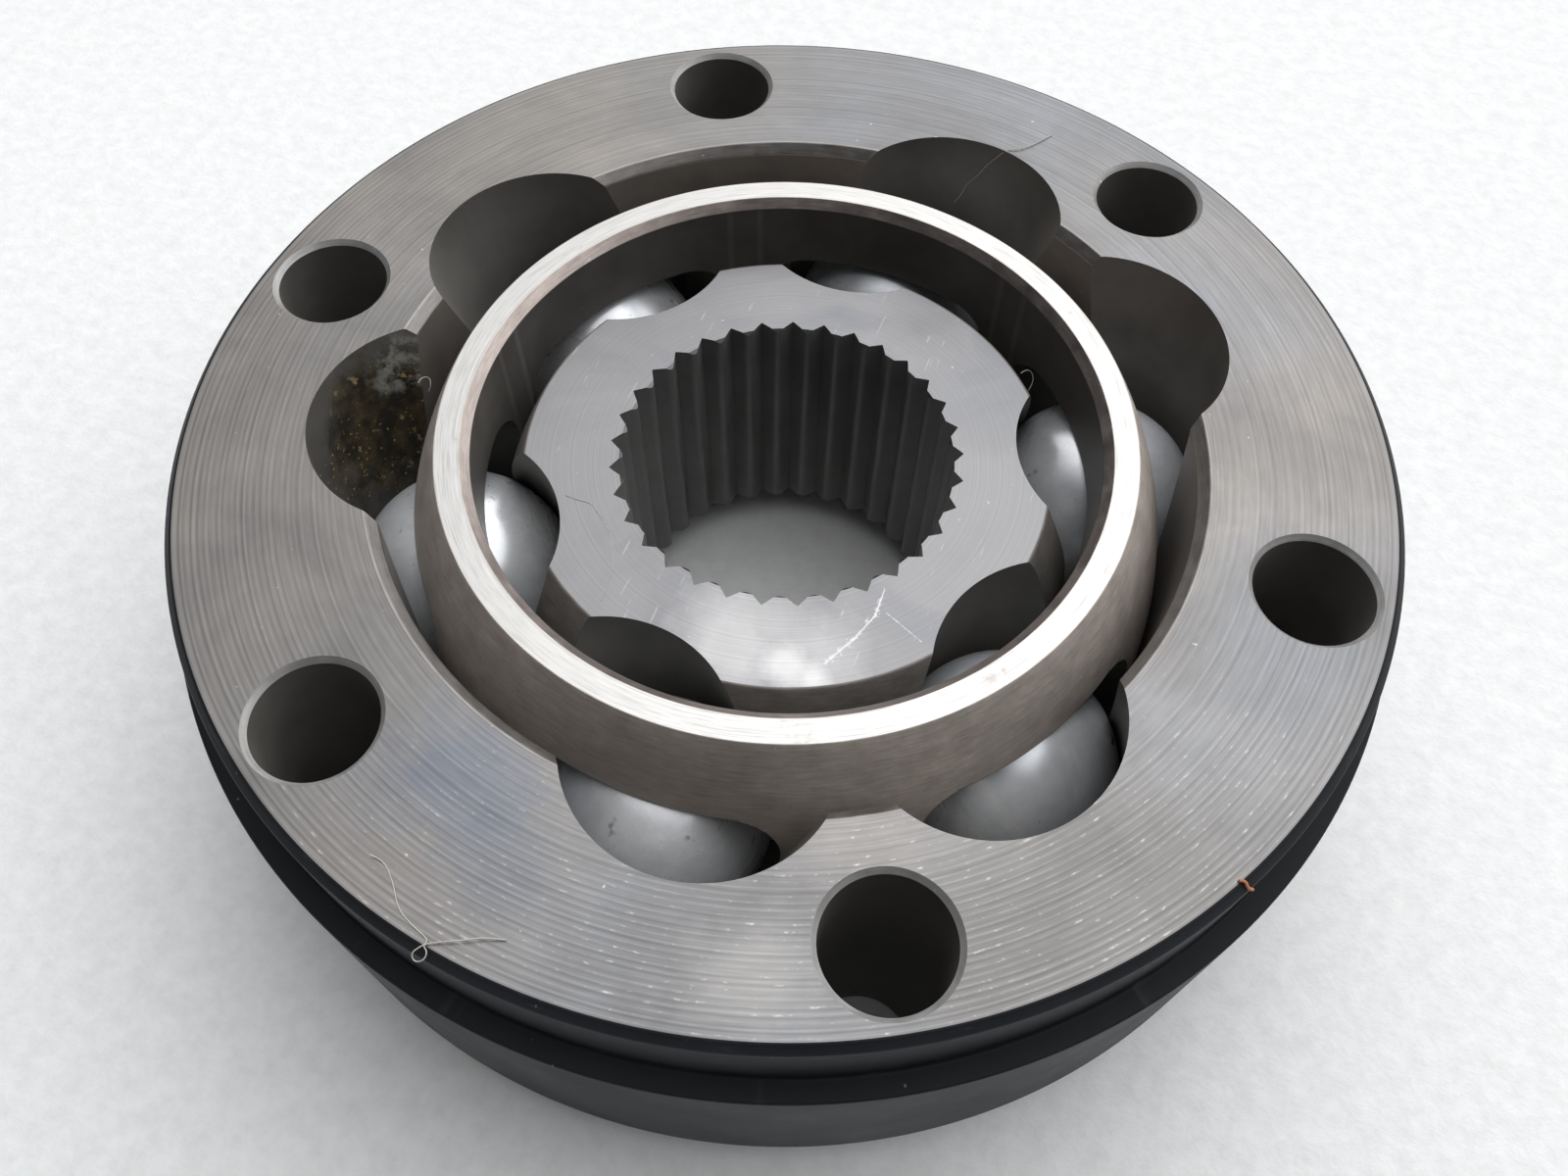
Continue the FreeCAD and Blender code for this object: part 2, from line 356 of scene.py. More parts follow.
def turned_steel(name, base, feed, depth, top, tone_patches):
    """A lathe-turned face: fine rings, ring marks lit by painted highlights, oil clouds, stains
    and a few specks.
    """
    s = Shader(name, base)
    radius = s.radius()
    fine = s.lines(radius, 1.6 / feed)
    broad = s.lines(radius, 0.20 / feed, 1.0)
    wander = s.mul(s.noise(30.0, 2.0), 1.6)
    groove = s.math("SINE", s.sum(s.mul(radius, 2.0 * math.pi / feed), wander))
    streak = s.marks(radius, 0.5 * feed, 14.0, 2.0, 0.5)
    patch = s.marks(radius, 3.0 * feed, 16.0, 4.0, 0.7)
    glint = s.marks(radius, 0.9 * feed, 52.0, 2.0, 0.6)
    cloud = s.noise(55.0, 4.0, 0.6, distortion=0.5)
    large = s.noise(21.0, 2.0, 0.5, distortion=0.6)
    warm, cool = times(base, 1.05, 1.0, 0.95), times(base, 0.91, 0.95, 1.02)
    colour = s.laid(warm, cool, large, 0.40, 0.66)
    colour = s.laid(colour, times(base, 0.78), cloud, 0.35, 0.7, 0.8)
    colour = s.stains_and_painted_light(colour, top, tone_patches)
    lines = s.sum(s.swing(fine, 0.9, 1.1), s.swing(streak, -0.06, 0.06))
    colour = s.scaled(colour, s.sum(lines, s.swing(broad, -0.07, 0.07)))
    # Painted highlight: the ring crests are lightened in colour, most on the side towards the
    # front, and the sparks on them are painted glints.
    front = s.vector("DOT_PRODUCT", s.place, (0.42, -0.91, 0.0))
    wear_and_sheen = s.band(front, 26.0 * MM, 46.0 * MM, 0.12, 1.0)
    crest = s.mul(s.band(groove, 0.2, 1.0), s.mul(wear_and_sheen, 0.6))
    ring = s.mul(crest, s.band(patch, 0.38, 0.70, 0.12, 0.9))
    colour = s.mix(ring, colour, times(base, 1.4))
    painted_glint = s.mul(crest, s.band(glint, 0.60, 0.78))
    colour = s.mix(painted_glint, colour, times(base, 3.2))
    colour = s.laid(colour, times(base, 2.2), s.noise(1500.0, 1.0, 0.5), 0.80, 0.84, 0.8)
    rough = s.sum(s.swing(cloud, 0.33, 0.46), s.swing(broad, -0.03, 0.03))
    normal = s.bump(s.sum(s.mul(fine, 0.5), s.mul(groove, 0.22)), depth)
    normal = s.bump(s.noise(700.0, 3.0), 0.005 * MM, normal)
    s.brushed(0.5)
    return s.finish(colour, rough, normal)


def oiled_steel(name, base):
    """Blackened, oily side of the ring: soft level bands, thin turning lines and pale scuffs."""
    s = Shader(name, base)
    line = s.lines(s.height(), 2200.0)
    rubbed = s.marks(s.height(), 0.5 * MM, 16.0, 3.0, 0.65)
    cloud = s.noise(60.0, 4.0, 0.6)
    colour = s.laid(base, times(base, 1.4), cloud, 0.4, 0.7)
    colour = s.laid(colour, times(base, 3.0), rubbed, 0.60, 0.74, 0.55)
    colour = s.laid(colour, (0.30, 0.29, 0.27), s.noise(1100.0, 2.0, 0.6), 0.74, 0.80, 0.6)
    colour = s.scaled(colour, s.swing(line, 0.85, 1.15))
    s.feed(s.bsdf.inputs["Specular IOR Level"], 0.09)
    return s.finish(colour, s.swing(cloud, 0.39, 0.54), s.bump(line, 0.006 * MM), 0.0)


def track_steel(name, base, rough=0.42, dirt=(), crumb_tone=()):
    """Smooth hardened track, nearly black under its oil; dried grease lies where dirt says."""
    s = Shader(name, base)
    cloud = s.noise(90.0, 4.0, 0.65)
    colour = s.laid(times(base, 0.8), times(base, 1.25), cloud, 0.35, 0.7)
    colour = s.laid(colour, (0.34, 0.32, 0.29), s.noise(1300.0, 2.0, 0.6), 0.76, 0.81, 0.55)
    dull = s.swing(cloud, rough - 0.06, rough + 0.1)
    normal = s.bump(s.noise(260.0, 4.0, 0.6), 0.012 * MM)
    for place, reach, kind in dirt:
        inside = s.blot(place, reach, 0.5)
        grain = s.noise(1000.0, 3.0, 0.7)
        if kind == "film":
            film = s.laid((0.022, 0.018, 0.010), (0.10, 0.075, 0.035),
                          s.noise(420.0, 4.0, 0.7), 0.45, 0.68)
            colour = s.mix(inside, colour, film)
            colour = s.mix(s.mul(inside, s.band(grain, 0.62, 0.68)), colour, crumb_tone)
        else:
            pale = s.mul(inside, s.band(s.noise(520.0, 4.0, 0.7), 0.44, 0.60))
            colour = s.mix(pale, colour, (0.30, 0.30, 0.27))
        dull = s.math("MAXIMUM", dull, s.mul(inside, 0.72))
        normal = s.bump(s.mul(grain, inside), 0.10 * MM, normal)
    return s.finish(colour, dull, normal, 0.15)


def ground_steel(name, base, rough=0.46, metal=0.2):
    """Ground sphere of the cage: brown-grey with a fine mottle and thin level scratches."""
    s = Shader(name, base)
    mottle = s.noise(420.0, 4.0, 0.7)
    cloud = s.noise(48.0, 4.0, 0.6, distortion=0.4)
    scratch = s.marks(s.height(), 0.16 * MM, 14.0, 2.0, 0.5)
    colour = s.laid(times(base, 0.88), times(base, 1.15), mottle, 0.35, 0.7)
    colour = s.laid(colour, times(base, 0.62, 0.60, 0.60), cloud, 0.48, 0.72, 0.75)
    colour = s.scaled(colour, s.swing(scratch, 0.86, 1.14))
    colour = s.laid(colour, times(base, 2.2), s.noise(1300.0, 1.0, 0.5), 0.79, 0.83, 0.6)
    normal = s.bump(mottle, 0.006 * MM, s.bump(scratch, 0.005 * MM))
    return s.finish(colour, s.swing(mottle, rough - 0.05, rough + 0.08), normal, metal)


def rim_steel(name, base):
    """Flat rim of the cage, rubbed bright, with round-going scratches and a little staining."""
    s = Shader(name, base)
    scratch = s.marks(s.radius(), 0.13 * MM, 9.0, 2.0, 0.6)
    fine = s.lines(s.radius(), 1.0 / (0.2 * MM))
    colour = s.laid(base, times(base, 0.60), scratch, 0.46, 0.76, 0.5)
    colour = s.scaled(colour, s.swing(fine, 0.9, 1.05))
    pit = s.mul(s.band(s.noise(150.0, 4.0, 0.7), 0.60, 0.72),
                s.band(s.noise(900.0, 2.0), 0.5, 0.62))
    colour = s.mix(s.mul(pit, 0.7), colour, (0.28, 0.24, 0.20))
    s.brushed(0.4)
    return s.finish(colour, s.swing(scratch, 0.30, 0.42), s.bump(fine, 0.003 * MM))


def satin_steel(name, base, top, tone_patches, scores):
    """Inner race: satin grey with clouded stains, faint turning lines, thin pale scratches and
    given patches of tone, partly painted highlight.
    """
    s = Shader(name, base)
    cloud = s.noise(85.0, 5.0, 0.62, distortion=0.8)
    stain = s.noise(34.0, 3.0, 0.55, distortion=1.4)
    colour = s.laid(times(base, 0.84), times(base, 1.14), cloud, 0.35, 0.7)
    colour = s.laid(colour, times(base, 0.70, 0.75, 0.82), stain, 0.50, 0.62, 0.65)
    colour = s.stains_and_painted_light(colour, top, tone_patches)
    for start, end, width in scores:
        line = s.score((*start, top), (*end, top), width)
        colour = s.mix(s.mul(line, 0.7), colour, times(base, 2.2))
    for turn, scale, low in ((0.9, 260.0, 0.715), (-0.4, 340.0, 0.725), (2.1, 300.0, 0.72)):
        long = s.add("ShaderNodeMapping", {
            "Vector": s.place, "Rotation": (0.0, 0.0, turn), "Scale": (1.0, 0.045, 1.0)})
        line = s.band(s.noise(scale * 9.0, 1.0, 0.5, long.outputs[0]), low, low + 0.03)
        here = s.band(s.noise(180.0 + scale, 1.0), 0.50, 0.60)
        colour = s.mix(s.mul(s.mul(line, here), 0.35), colour, times(base, 1.9))
    colour = s.laid(colour, times(base, 1.7), s.noise(1500.0, 1.0, 0.5), 0.79, 0.83, 0.8)
    ring = s.lines(s.radius(), 1.0 / (0.22 * MM), 1.0)
    colour = s.scaled(colour, s.swing(ring, 0.95, 1.05))
    normal = s.bump(s.noise(600.0, 3.0), 0.006 * MM, s.bump(ring, 0.004 * MM))
    return s.finish(colour, s.swing(cloud, 0.34, 0.48), normal)


def ball_steel(name, base, shift):
    """Polished bearing ball, dulled by oil: soft smears, fine haze, small dents and dark nicks."""
    s = Shader(name, base)
    at = s.add("ShaderNodeMapping", {
        "Vector": s.place, "Location": (shift, 0.37 * shift, 0.11)}).outputs[0]
    smear = s.noise(75.0, 4.0, 0.6, at, 1.2)
    nick = s.mul(s.band(s.noise(520.0, 2.0, 0.6, at), 0.66, 0.72),
                 s.band(s.noise(150.0, 1.0, vector=at), 0.54, 0.62))
    colour = s.laid(base, times(base, 0.60, 0.64, 0.69), smear, 0.42, 0.68, 0.6)
    colour = s.scaled(colour, s.swing(s.noise(420.0, 3.0, 0.7, at), 0.93, 1.07))
    colour = s.mix(s.mul(nick, 0.85), colour, (0.05, 0.05, 0.055))
    normal = s.bump(s.noise(110.0, 3.0, vector=at), 0.012 * MM, s.bump(nick, -0.015 * MM))
    return s.finish(colour, s.band(smear, 0.35, 0.7, 0.24, 0.38), normal, 0.5)


def plain_dirt(name, colour):
    """Lint or a dry crumb: matt, a little uneven in tone."""
    s = Shader(name, colour)
    tone = s.mix(s.noise(900.0, 2.0), times(colour, 0.8), times(colour, 1.2))
    return s.finish(tone, 0.8, s.bump(s.noise(1500.0), 0.01 * MM), 0.0)


# ---------------------------------------------------------------- mesh helpers

def linked(name, data):
    """A new object for the data, in the scene."""
    piece = bpy.data.objects.new(name, data)
    bpy.context.scene.collection.objects.link(piece)
    return piece


def plain_mesh(piece):
    """The piece's shape, modifiers and all, as a plain mesh of its name."""
    bpy.context.view_layer.update()
    graph = bpy.context.evaluated_depsgraph_get()
    mesh = bpy.data.meshes.new_from_object(piece.evaluated_get(graph), depsgraph=graph)
    mesh.name = piece.name
    return mesh


def softened(profile, radius):
    """Rounds each true corner of a closed (r, z) outline; gentle bends stay."""
    points = [Vector(p) for p in profile]
    out = []
    for i, corner in enumerate(points):
        back = points[i - 1] - corner
        ahead = points[(i + 1) % len(points)] - corner
        turn = back.angle(ahead)
        if turn > GENTLE_BEND:
            out.append(tuple(corner))
            continue
        reach = min(radius / math.tan(turn / 2.0), CORNER_SHARE * back.length,
                    CORNER_SHARE * ahead.length)
        start = corner + back.normalized() * reach
        end = corner + ahead.normalized() * reach
        for k in range(CORNER_STEPS + 1):
            t = k / CORNER_STEPS
            out.append(tuple(start * (1 - t) ** 2 + corner * 2 * t * (1 - t) + end * t ** 2))
    return out


def belt(radius, low, high, steps):
    """Outline of a sphere between two heights; its centre is the middle of the joint."""
    lean = math.asin((high - low) / 2.0 / radius)
    ways = [-lean + 2.0 * lean * k / steps for k in range(steps + 1)]
    return [(radius * math.cos(way), MIDDLE + radius * math.sin(way)) for way in ways]


def lathe(name, profile, steps, finishes, bore_edge=0.0):
    """Closed surface of revolution about Z.

    The first finish lies outside bore_edge, the second on the chamfers within it, and the
    third in the bore.
    """
    mesh = bpy.data.meshes.new(name)
    verts, faces = [], []
    n = len(profile)
    for k in range(steps):
        turn = 2.0 * math.pi * k / steps
        verts += [(r * math.cos(turn), r * math.sin(turn), z) for r, z in profile]
    for k in range(steps):
        a, b = k * n, ((k + 1) % steps) * n
        faces += [(a + i, b + i, b + (i + 1) % n, a + (i + 1) % n) for i in range(n)]
    mesh.from_pydata(verts, [], faces)
    work = bmesh.new()
    work.from_mesh(mesh)
    bmesh.ops.recalc_face_normals(work, faces=work.faces)
    for face in work.faces:
        if face.calc_center_median().xy.length <= bore_edge:
            face.material_index = 1 if abs(face.normal.z) > SLOPED else 2
    work.to_mesh(mesh)
    work.free()
    for finish in finishes:
        mesh.materials.append(finish)
    return linked(name, mesh)


def grown(piece, tree, values):
    """Runs a tree on a piece, its inputs set by identifier, and keeps the result as its mesh."""
    modifier = piece.modifiers.new("build", "NODES")
    modifier.node_group = tree
    for item in tree.interface.items_tree:
        if item.in_out == "INPUT" and item.name in values:
            modifier[item.identifier] = values[item.name]
    mesh = plain_mesh(piece)
    piece.modifiers.remove(modifier)
    old, piece.data = piece.data, mesh
    bpy.data.meshes.remove(old)


def smooth(piece, round_by, angle=28.0):
    """Smooth shading with crisp edges; a small bevel catches light on the cut edges."""
    piece.data.shade_smooth()
    piece.data.set_sharp_from_angle(angle=math.radians(angle))
    bevel = piece.modifiers.new("worn edges", "BEVEL")
    bevel.limit_method = "ANGLE"
    bevel.angle_limit = math.radians(angle)
    bevel.width = round_by
    bevel.segments = 2
    bevel.use_clamp_overlap = True
    bevel.miter_outer = "MITER_ARC"
    piece.modifiers.new("flat faces lead", "WEIGHTED_NORMAL").keep_sharp = True


def carried(piece, node):
    """Lets a finished piece move with the body of a node's name."""
    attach(piece, node)


def fitted(piece, node):
    """Puts a finished piece in place of its CAD node, on the body of that name."""
    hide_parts(node)
    carried(piece, node)


# ---------------------------------------------------------------- geometry trees

class Tree(Nodes):
    """A Geometry Nodes tree with one named input for each of its values."""

    KINDS = {float: "NodeSocketFloat", int: "NodeSocketInt",
             bpy.types.Material: "NodeSocketMaterial"}

    def __init__(self, name, values):
        super().__init__(bpy.data.node_groups.new(name, "GeometryNodeTree"))
        face = self.tree.interface
        face.new_socket("Geometry", in_out="INPUT", socket_type="NodeSocketGeometry")
        for key, value in values.items():
            face.new_socket(key, in_out="INPUT", socket_type=self.KINDS[type(value)])
        face.new_socket("Geometry", in_out="OUTPUT", socket_type="NodeSocketGeometry")
        self.given = self.add("NodeGroupInput").outputs

    def polar(self, radius, angle, height):
        """Place at an angle around the joint's axis."""
        return self.xyz(self.mul(radius, self.math("COSINE", angle)),
                        self.mul(radius, self.math("SINE", angle)), height)

    def ring(self, cutter, count, radius, height, first, tilt=(0.0, 0.0)):
        """Instances of a cutter, evenly spaced on a circle and turned to face outwards."""
        line = self.add("GeometryNodeMeshLine", {"Count": count})
        step = self.math("DIVIDE", 2.0 * math.pi, count)
        angle = self.math("MULTIPLY_ADD", self.add("GeometryNodeInputIndex"), step, first)
        placed = self.add("GeometryNodeSetPosition", {
            "Geometry": line, "Position": self.polar(radius, angle, height)})
        facing = self.add("FunctionNodeEulerToRotation", {"Euler": self.xyz(*tilt, angle)})
        return self.add("GeometryNodeInstanceOnPoints", {
            "Points": placed, "Instance": cutter, "Rotation": facing})

    def cylinder(self, radius, depth, sides):
        return self.add("GeometryNodeMeshCylinder", {
            "Vertices": sides, "Radius": radius, "Depth": depth}).outputs["Mesh"]

    def end_cones(self, radius, edge, over, sides):
        """Cutters that break a hole's edges at the top and the bottom face, and their heights."""
        wide = self.sum(self.sum(radius, edge), over)
        deep = self.sum(edge, over)
        start = self.minus(self.mul(self.given["Width"], 0.5), edge)
        under = self.mul(self.sum(start, deep), -1.0)
        for bottom, top, level in ((radius, wide, start), (wide, radius, under)):
            cone = self.add("GeometryNodeMeshCone", {
                "Vertices": sides, "Radius Top": top, "Radius Bottom": bottom, "Depth": deep})
            yield cone.outputs["Mesh"], self.sum(level, MIDDLE)

    def tracks(self, lean):
        """Cutters of the six crossed tracks, three leaning each way, with their finish."""
        given = self.given
        wall = self.sum(given["Ball radius"], given["Track clearance"])
        tool = self.cylinder(wall, self.mul(given["Ball radius"], 6.0), TRACK_SIDES)
        for side, way in enumerate((-lean, lean)):
            tilt = (self.mul(given["Track lean"], way), 0.0)
            yield self.ring(tool, BALLS // 2, given["Pitch radius"], MIDDLE, ball_way(side),
                            tilt), given["Track finish"]

    def carved(self, solid, tools):
        """Cuts with every tool at once, then gives each cut face the finish of its tool."""
        cut = self.add("GeometryNodeMeshBoolean", operation="DIFFERENCE", solver="MANIFOLD")
        self.feed(cut.inputs["Mesh 1"], solid)
        for tool, _ in tools:
            self.feed(cut.inputs["Mesh 2"], tool)
        solid = cut.outputs["Mesh"]
        for tool, material in tools:
            whole = self.add("GeometryNodeRealizeInstances", {"Geometry": tool})
            away = self.add("GeometryNodeProximity", {0: whole},
                            target_element="FACES").outputs["Distance"]
            solid = self.add("GeometryNodeSetMaterial", {
                "Geometry": solid, "Selection": self.more(ON_TOOL, away),
                "Material": material})
        return solid

    def more(self, first, second):
        """True where the first is larger."""
        return self.add("FunctionNodeCompare", {0: first, 1: second}, data_type="FLOAT",
                        operation="GREATER_THAN").outputs["Result"]

    def close(self, solid, material, width=None):
        """Ends the tree: realised, with the face finish on both end faces where width is given."""
        real = self.add("GeometryNodeRealizeInstances", {"Geometry": solid})
        inputs = {"Geometry": real, "Material": material}
        if width is not None:
            up = self.split(self.add("GeometryNodeInputNormal"))["Z"]
            spot = self.split(self.add("GeometryNodeInputPosition"))["Z"]
            off = self.math("ABSOLUTE", self.minus(spot, MIDDLE))
            end = self.math("MULTIPLY_ADD", width, 0.5, -ON_END)
            inputs["Selection"] = self.add("FunctionNodeBooleanMath", {
                0: self.more(self.math("ABSOLUTE", up), LEVEL), 1: self.more(off, end)},
                operation="AND")
        done = self.add("GeometryNodeSetMaterial", inputs)
        self.add("NodeGroupOutput", {"Geometry": done})
        return self.tree


def track_values(sizes, track, face):
    """Inputs that both races' trees share."""
    return {"Pitch radius": sizes.pitch_radius, "Ball radius": sizes.ball_radius,
            "Track clearance": sizes.track_gap, "Track lean": sizes.track_skew,
            "Track finish": track, "Face finish": face}


def outer_race_tree(values):
    """Six bolt holes with broken edges, then the six crossed tracks."""
    t = Tree("outer_race_cuts", values)
    given = t.given
    drill = t.cylinder(given["Hole radius"], t.mul(given["Width"], 1.5), HOLE_SIDES)
    tools = [(t.ring(drill, BALLS, given["Bolt circle"], MIDDLE, 0.0), given["Hole finish"])]
    for cone, level in t.end_cones(given["Hole radius"], given["Hole chamfer"], 1.0 * MM,
                                   HOLE_SIDES):
        tools.append((t.ring(cone, BALLS, given["Bolt circle"], level, 0.0),
                      given["Edge finish"]))
    tools += t.tracks(1.0)
    return t.close(t.carved(given["Geometry"], tools), given["Face finish"], given["Width"])


def inner_race_tree(values):
    """The toothed bore with its lead-in, then the six tracks leaning the other way."""
    t = Tree("inner_race_cuts", values)
    given = t.given
    core = t.cylinder(given["Root radius"], t.mul(given["Width"], 1.4),
                      t.mul(given["Teeth"], STEPS_PER_TOOTH))
    axes = t.split(t.add("GeometryNodeInputPosition"))
    angle = t.math("ARCTAN2", axes["Y"], axes["X"])
    turn = t.mul(t.math("DIVIDE", angle, 2.0 * math.pi), given["Teeth"])
    share = t.math("ABSOLUTE", t.minus(turn, t.math("ROUND", turn)))
    tip = t.minus(given["Root radius"], given["Tooth depth"])
    pitch = t.math("DIVIDE", t.mul(tip, 2.0 * math.pi), given["Teeth"])
    # A tooth rises straight from the root to the end of its flank, then in a low arch.
    away = t.mul(share, pitch)
    flank = t.math("MINIMUM", away, given["Flank depth"])
    crest = t.band(away, given["Flank depth"], t.mul(pitch, 0.5), 0.0, math.pi / 2.0)
    arch = t.mul(t.math("SINE", crest), t.minus(given["Tooth depth"], given["Flank depth"]))
    keep = t.minus(1.0, t.math("DIVIDE", t.sum(flank, arch), given["Root radius"]))
    moved = t.xyz(t.mul(axes["X"], keep), t.mul(axes["Y"], keep), axes["Z"])
    star = t.add("GeometryNodeSetPosition", {"Geometry": core, "Position": moved})
    tools = [(t.add("GeometryNodeTransform", {"Geometry": star, "Translation": (0, 0, MIDDLE)}),
              given["Spline finish"])]
    for cone, level in t.end_cones(tip, given["Lead-in"], 0.5 * MM, LEAD_SIDES):
        tools.append((t.add("GeometryNodeTransform", {
            "Geometry": cone, "Translation": t.xyz(z=level)}), given["Edge finish"]))
    tools += t.tracks(-1.0)
    return t.close(t.carved(given["Geometry"], tools), given["Face finish"], given["Width"])


def cage_tree(values):
    """Six windows with round corners, cut straight outwards."""
    t = Tree("cage_windows", values)
    given = t.given
    outline = t.add("GeometryNodeCurvePrimitiveQuadrilateral", {
        "Width": given["Window height"], "Height": given["Window width"]})
    rounded = t.add("GeometryNodeFilletCurve", {
        "Curve": outline, "Radius": given["Corner"], "Count": 10}, mode="POLY")
    flat = t.add("GeometryNodeFillCurve", {"Curve": rounded}, mode="NGONS")
    tall = t.add("GeometryNodeExtrudeMesh", {
        "Mesh": flat, "Offset Scale": given["Cage radius"], "Individual": False})
    back = t.add("GeometryNodeFlipFaces", {"Mesh": flat})
    both = t.add("GeometryNodeJoinGeometry")
    t.feed(both.inputs[0], tall.outputs["Mesh"])
    t.feed(both.inputs[0], back)
    block = t.add("GeometryNodeMergeByDistance", {"Geometry": both, "Distance": 1e-6})
    # The cutters start inside the bore and reach past the sphere.
    near = t.mul(given["Cage radius"], 0.4)
    ring = t.ring(block, BALLS, near, MIDDLE, ball_way(0), (0.0, math.pi / 2.0))
    body = t.carved(given["Geometry"], [(ring, given["Window finish"])])
    return t.close(body, given["Rim finish"], given["Width"])


def ball_tree(values):
    """One ball: a cube's even grid pushed out to the sphere, at its place on the pitch circle."""
    t = Tree("ball_blank", values)
    given = t.given
    block = t.add("GeometryNodeMeshCube", {
        "Size": (2.0,) * 3, **{"Vertices " + way: BALL_GRID for way in "XYZ"}})
    warped = t.vector("MULTIPLY", t.add("GeometryNodeInputPosition"), (math.pi / 4.0,) * 3)
    unit = t.vector("NORMALIZE", t.vector("TANGENT", warped))
    skin = t.add("GeometryNodeSetPosition", {
        "Geometry": block.outputs["Mesh"],
        "Position": t.vector("SCALE", unit, given["Ball radius"])})
    placed = t.add("GeometryNodeSetPosition", {
        "Geometry": t.add("GeometryNodeMeshLine", {"Count": 1}),
        "Position": t.polar(given["Pitch radius"], given["Place"], MIDDLE)})
    ball = t.add("GeometryNodeInstanceOnPoints", {"Points": placed, "Instance": skin})
    return t.close(ball, given["Finish"])


# ---------------------------------------------------------------- operators

class JOINT_OT_outer_race(Operator):
    """Turns the outer race's blank and cuts its bolt holes and crossed tracks"""
    bl_idname = "joint.outer_race"
    bl_label = "Outer race"

    def execute(self, context):
        z, f = context.scene.joint_sizes, context.scene.joint_finishes
        low, high = RING_LOW.z, RING_HIGH.z
        bore = z.cage_radius + z.bore_gap
        half = [(bore, low + z.bore_edge), (bore + z.bore_edge, low),
                (z.seat_radius - z.face_edge, low), (z.seat_radius, low + z.face_edge),
                (z.seat_radius, low + z.seat_length), (z.body_radius, low + z.seat_length)]
        profile = half + [(r, low + high - y) for r, y in reversed(half)]
        blank = lathe("outer_race_ring", softened(profile, RING_SOFT), z.around, (
            oiled_steel("oiled side steel", f.oiled),
            ground_steel("chamfer steel", f.chamfer, 0.42, 1.0),
            track_steel("outer bore steel", f.bore)), bore + z.bore_edge + 0.1 * MM)
        # Of the face's patches, the pale one in front is a painted highlight and the two dark ones
        # at the right front are painted shade.
        face = turned_steel("turned face steel", f.turned, FEED, GROOVE, high / MM, (
            (-12.0, -40.5, 5.0, (0.165, 0.176, 0.20)), (-7.0, -43.0, 3.5, (0.155, 0.168, 0.195)),
            (-3.5, -46.0, 3.0, (0.17, 0.176, 0.19)), (-26.0, 38.0, 8.0, (0.20, 0.196, 0.192)),
            (46.0, -6.0, 7.0, (0.19, 0.195, 0.206)), (15.5, -46.0, 3.6, (0.275, 0.27, 0.267)),
            (33.0, -39.0, 7.0, (0.18, 0.176, 0.172)), (42.0, -30.0, 8.0, (0.183, 0.178, 0.174))))
        track = track_steel("outer track steel", f.track, crumb_tone=f.grime, dirt=(
            ((-39.0, -7.8, 28.5), 7.0, "film"), ((-37.2, -4.4, 34.0), 3.2, "pale"),
            ((42.0, 12.0, 33.0), 3.5, "pale")))
        values = {**track_values(z, track, face), "Bolt circle": z.bolt_circle,
                  "Hole radius": z.bolt_radius, "Hole chamfer": z.bolt_edge, "Width": high - low,
                  "Edge finish": ground_steel("hole edge steel", f.hole_edge, 0.45, 0.5),
                  "Hole finish": track_steel("drilled hole steel", times(f.track, 1.3))}
        grown(blank, outer_race_tree(values), values)
        smooth(blank, z.edge_round)
        fitted(blank, "outer_race")
        return {"FINISHED"}


class JOINT_OT_cage(Operator):
    """Turns the cage and cuts its six windows"""
    bl_idname = "joint.cage"
    bl_label = "Cage"

    def execute(self, context):
        z, f = context.scene.joint_sizes, context.scene.joint_finishes
        low, high = CAGE_LOW.z, CAGE_HIGH.z
        edge = z.cage_bore + z.cage_edge
        profile = [(z.cage_bore, low + z.cage_edge), (edge, low),
                   *belt(z.cage_radius, low, high, BELT_STEPS),
                   (edge, high), (z.cage_bore, high - z.cage_edge)]
        blank = lathe("cage_ring", softened(profile, CAGE_SOFT), z.around, (
            ground_steel("ground sphere steel", f.ground),
            ground_steel("rim chamfer steel", f.rim_edge, 0.36, 1.0),
            track_steel("cage bore steel", f.bore, 0.36)), edge)
        values = {"Window width": 2.0 * (z.ball_radius + z.window_room),
                  "Window height": 2.0 * (z.ball_radius + z.window_gap), "Width": high - low,
                  "Corner": z.window_corner, "Cage radius": z.cage_radius,
                  "Window finish": track_steel("window steel", times(f.track, 1.3)),
                  "Rim finish": rim_steel("bright rim steel", f.rim)}
        grown(blank, cage_tree(values), values)
        smooth(blank, z.edge_round)
        fitted(blank, "cage")
        return {"FINISHED"}


